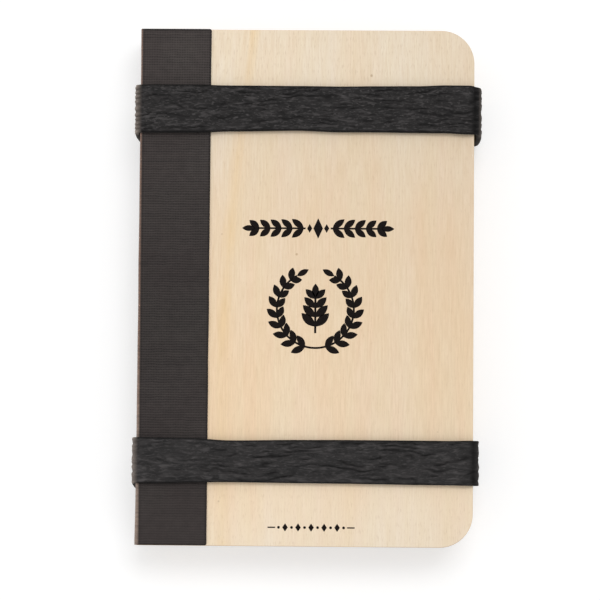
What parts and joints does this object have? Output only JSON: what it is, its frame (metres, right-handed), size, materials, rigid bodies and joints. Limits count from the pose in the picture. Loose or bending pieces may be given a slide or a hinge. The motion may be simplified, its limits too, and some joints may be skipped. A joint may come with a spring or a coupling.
{
  "type": "flower press",
  "caption": "Book-style pocket flower press: plywood covers on a bookcloth spine, corrugated dividers and blotting paper between them, held shut by elastic loops.",
  "frame": {"origin": "under the middle of the closed press, on the surface that the elastic loops rest on", "axes": "+X from the spine to the fore edge, +Y from the tail to the head, +Z out of the front cover"},
  "size_m": [0.094, 0.14, 0.0199],
  "materials": {
    "plywood": "sanded pale birch plywood, unvarnished",
    "bookcloth": "plain-weave starched bookcloth, dark brown-charcoal",
    "lining_paper": "matt lining paper, glued to the cloth",
    "corrugated_board": "brown kraft board with small flutes",
    "blotting_paper": "soft off-white blotting paper",
    "elastic": "black ruched elastic webbing",
    "thread": "black polyester sewing thread"
  },
  "bodies": {
    "back_cover": {"back_board": "plywood", "back_flap": "bookcloth", "divider_1": "corrugated_board", "blotter_1": "blotting_paper"},
    "spine": {"spine_cloth": "bookcloth", "spine_lining": "lining_paper"},
    "front_cover": {"front_board": "plywood", "front_flap": "bookcloth"},
    "page_2": {"blotter_2": "blotting_paper", "divider_2": "corrugated_board", "blotter_3": "blotting_paper"},
    "page_3": {"blotter_4": "blotting_paper", "divider_3": "corrugated_board", "blotter_5": "blotting_paper"},
    "page_4": {"blotter_6": "blotting_paper", "divider_4": "corrugated_board", "blotter_7": "blotting_paper"},
    "page_5": {"blotter_8": "blotting_paper", "divider_5": "corrugated_board"},
    "upper_loop": {"upper_band": "elastic", "upper_band_stitching": "thread"},
    "lower_loop": {"lower_band": "elastic", "lower_band_stitching": "thread"}
  },
  "joints": [
    {"name": "spine_fold", "type": "hinge", "parent": "back_cover", "child": "spine", "pos_m": [-0.0451, 0, 0.0014], "axis": [0, -1, 0], "range_deg": [0, 90]},
    {"name": "cover_fold", "type": "hinge", "parent": "spine", "child": "front_cover", "pos_m": [-0.0451, 0, 0.0185], "axis": [0, -1, 0], "range_deg": [0, 90]},
    {"name": "page_2_turn", "type": "hinge", "parent": "back_cover", "child": "page_2", "pos_m": [-0.0444, 0, 0.00995], "axis": [0, -1, 0], "range_deg": [0, 45]},
    {"name": "page_3_turn", "type": "hinge", "parent": "back_cover", "child": "page_3", "pos_m": [-0.0444, 0, 0.00995], "axis": [0, -1, 0], "range_deg": [0, 90]},
    {"name": "page_4_turn", "type": "hinge", "parent": "back_cover", "child": "page_4", "pos_m": [-0.0444, 0, 0.00995], "axis": [0, -1, 0], "range_deg": [0, 135]},
    {"name": "page_5_turn", "type": "hinge", "parent": "back_cover", "child": "page_5", "pos_m": [-0.0444, 0, 0.00995], "axis": [0, -1, 0], "range_deg": [0, 180]},
    {"name": "upper_loop_slide", "type": "slide", "parent": "back_cover", "child": "upper_loop", "axis": [0, 1, 0], "range_m": [0, 0.034], "deforming": ["upper_band", "upper_band_stitching"]},
    {"name": "lower_loop_slide", "type": "slide", "parent": "back_cover", "child": "lower_loop", "axis": [0, -1, 0], "range_m": [0, 0.034], "deforming": ["lower_band", "lower_band_stitching"]}
  ],
  "couplings": [
    {"joint": "spine_fold", "follows": "cover_fold", "ratio": 1},
    {"joint": "page_2_turn", "follows": "cover_fold", "ratio": 0.49},
    {"joint": "page_3_turn", "follows": "cover_fold", "ratio": 0.98},
    {"joint": "page_4_turn", "follows": "cover_fold", "ratio": 1.47},
    {"joint": "page_5_turn", "follows": "cover_fold", "ratio": 1.96},
    {"joint": "upper_loop_slide", "follows": "cover_fold", "m_per_rad": 0.0215},
    {"joint": "lower_loop_slide", "follows": "cover_fold", "m_per_rad": 0.0215}
  ]
}
